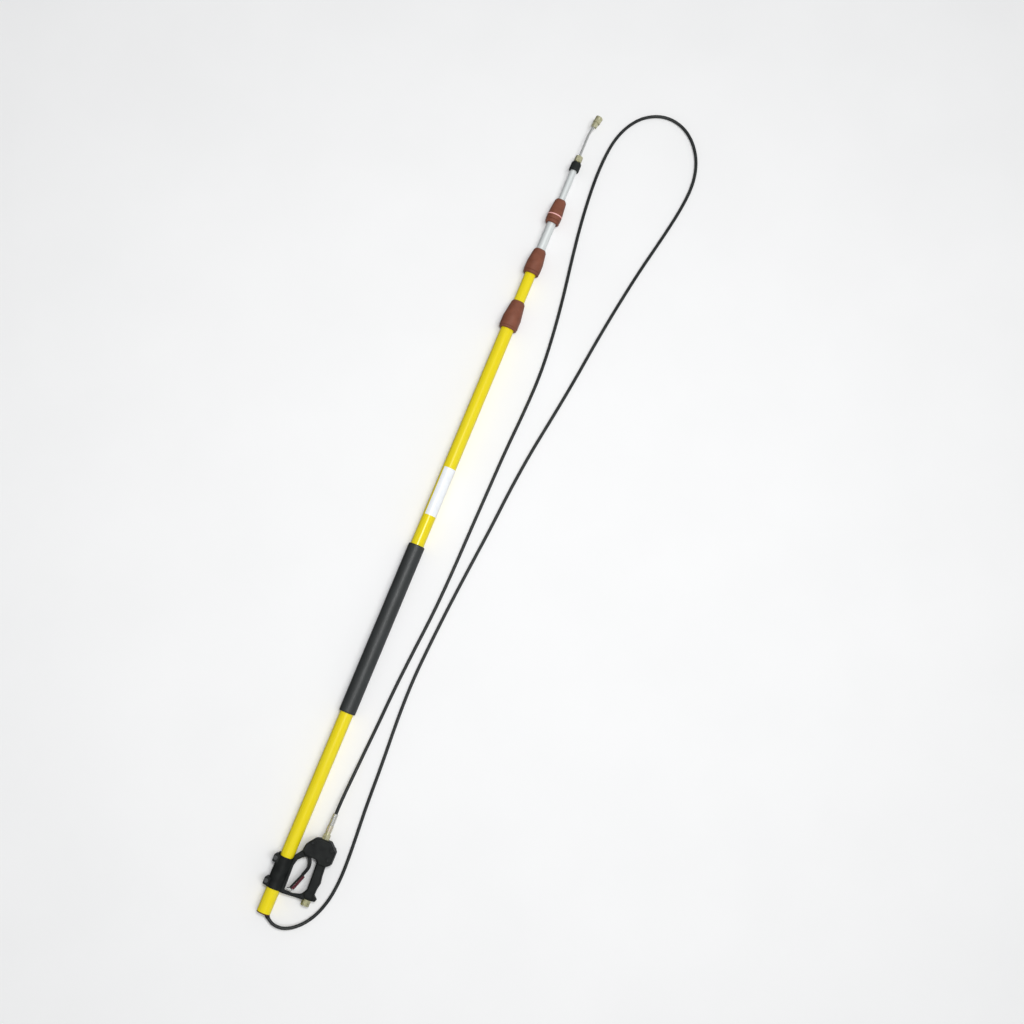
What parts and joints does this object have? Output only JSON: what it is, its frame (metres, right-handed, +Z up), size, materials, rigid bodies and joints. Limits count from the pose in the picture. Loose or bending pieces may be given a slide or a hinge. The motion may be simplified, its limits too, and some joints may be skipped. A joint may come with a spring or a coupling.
{
  "type": "telescopic high-pressure wash lance",
  "caption": "Telescopic cleaning lance: sliding pole sections with twist locks, clamped trigger gun, foam grip, quick coupler at the tip and a long looped hose.",
  "frame": {"origin": "on the ground under the middle of the lance's bounding box, the free hose left out", "axes": "+X along the pole from butt to tip, +Y away from the gun, +Z up"},
  "size_m": [2.5428, 0.3697, 0.054],
  "materials": {
    "yellow_fibreglass": "gloss pultruded fibreglass",
    "bare_aluminium": "satin drawn aluminium",
    "foam": "closed-cell foam",
    "label_film": "white film, blank",
    "bush_plastic": "moulded nylon",
    "grommet_rubber": "moulded rubber",
    "lock_plastic": "moulded brown nylon",
    "collet_plastic": "natural acetal",
    "band_plastic": "pink moulded ring",
    "collar_plastic": "moulded nylon",
    "brass": "turned brass",
    "dark_steel": "black-oxide steel",
    "steel": "zinc-plated or stainless steel",
    "seal_rubber": "nitrile",
    "seat_plastic": "acetal",
    "gun_plastic": "glass-filled nylon",
    "latch_plastic": "moulded maroon plastic",
    "copper_plate": "coppery brass",
    "crimp_steel": "zinc-plated crimp",
    "hose_rubber": "braided rubber hose"
  },
  "bodies": {
    "pole_base": {"outer_tube": "yellow_fibreglass", "foam_grip": "foam", "blank_label": "label_film", "butt_bush": "bush_plastic", "hose_grommet": "grommet_rubber", "lock1_base": "lock_plastic", "lock1_collet": "collet_plastic", "gun_shell_upper": "gun_plastic", "gun_shell_lower": "gun_plastic", "shell_screws": "dark_steel", "clamp_bolts": "dark_steel", "clamp_washers": "dark_steel", "clamp_nuts": "dark_steel", "inlet_fitting": "brass", "inlet_pipe": "steel", "valve_block": "brass", "valve_o_ring": "seal_rubber", "valve_seat": "seat_plastic", "valve_spring": "steel", "outlet_fitting": "brass", "hose_swivel_nut": "copper_plate", "hose_ferrule": "crimp_steel", "hose": "hose_rubber", "trigger_pin": "steel"},
    "lock1_grip": {"lock1_nut": "lock_plastic"},
    "section2": {"second_tube": "yellow_fibreglass", "glide_2": "collet_plastic", "lock2_base": "lock_plastic", "lock2_collet": "collet_plastic"},
    "lock2_grip": {"lock2_nut": "lock_plastic"},
    "section3": {"third_tube": "bare_aluminium", "glide_3": "collet_plastic", "lock3_base": "lock_plastic", "lock3_collet": "collet_plastic"},
    "lock3_grip": {"lock3_nut": "lock_plastic", "lock3_band": "band_plastic"},
    "section4": {"tip_tube": "bare_aluminium", "glide_4": "collet_plastic", "tip_collar": "collar_plastic", "tip_adapter": "brass", "tip_hex_nut": "brass", "lance_rod": "steel", "coupler_body": "brass", "coupler_balls": "steel", "coupler_seal": "seal_rubber", "coupler_ring": "steel", "coupler_spring": "steel", "inner_hose": "hose_rubber"},
    "coupler_slider": {"coupler_sleeve": "brass"},
    "trigger_lever": {"trigger": "gun_plastic", "latch_pin": "steel"},
    "safety_latch": {"trigger_latch": "latch_plastic"},
    "valve_plunger": {"valve_pin": "steel", "valve_ball": "steel"}
  },
  "joints": [
    {"name": "section2_slide", "type": "slide", "parent": "pole_base", "child": "section2", "axis": [1, 0, 0], "range_m": [0, 1.6]},
    {"name": "section3_slide", "type": "slide", "parent": "section2", "child": "section3", "axis": [1, 0, 0], "range_m": [0, 1.6]},
    {"name": "section4_slide", "type": "slide", "parent": "section3", "child": "section4", "axis": [1, 0, 0], "range_m": [0, 1.6]},
    {"name": "lock1_twist", "type": "hinge", "parent": "pole_base", "child": "lock1_grip", "pos_m": [0.57776, 0.04445, 0.027], "axis": [1, 0, 0], "range_deg": [0, 90]},
    {"name": "lock2_twist", "type": "hinge", "parent": "section2", "child": "lock2_grip", "pos_m": [0.74776, 0.04445, 0.027], "axis": [1, 0, 0], "range_deg": [0, 90]},
    {"name": "lock3_twist", "type": "hinge", "parent": "section3", "child": "lock3_grip", "pos_m": [0.90776, 0.04445, 0.027], "axis": [1, 0, 0], "range_deg": [0, 90]},
    {"name": "trigger_pivot", "type": "hinge", "parent": "pole_base", "child": "trigger_lever", "pos_m": [-1.02624, -0.00555, 0.027], "axis": [0, 0, 1], "range_deg": [0, 10.5], "stiffness_Nm_per_rad": 4, "springref_deg": -5.73},
    {"name": "latch_pivot", "type": "hinge", "parent": "trigger_lever", "child": "safety_latch", "pos_m": [-1.13074, 0.00345, 0.027], "axis": [0, 0, 1], "range_deg": [-30, 0]},
    {"name": "valve_pin_slide", "type": "slide", "parent": "pole_base", "child": "valve_plunger", "axis": [1, 0, 0], "range_m": [0, 0.0054], "deforming": ["valve_spring"]},
    {"name": "coupler_sleeve_slide", "type": "slide", "parent": "section4", "child": "coupler_slider", "axis": [-0.9848, 0.1736, 0], "range_m": [0, 0.0045], "stiffness_N_per_m": 1500, "springref_m": -0.004, "deforming": ["coupler_spring"]}
  ],
  "couplings": [
    {"joint": "valve_pin_slide", "follows": "trigger_pivot", "m_per_rad": 0.029}
  ]
}
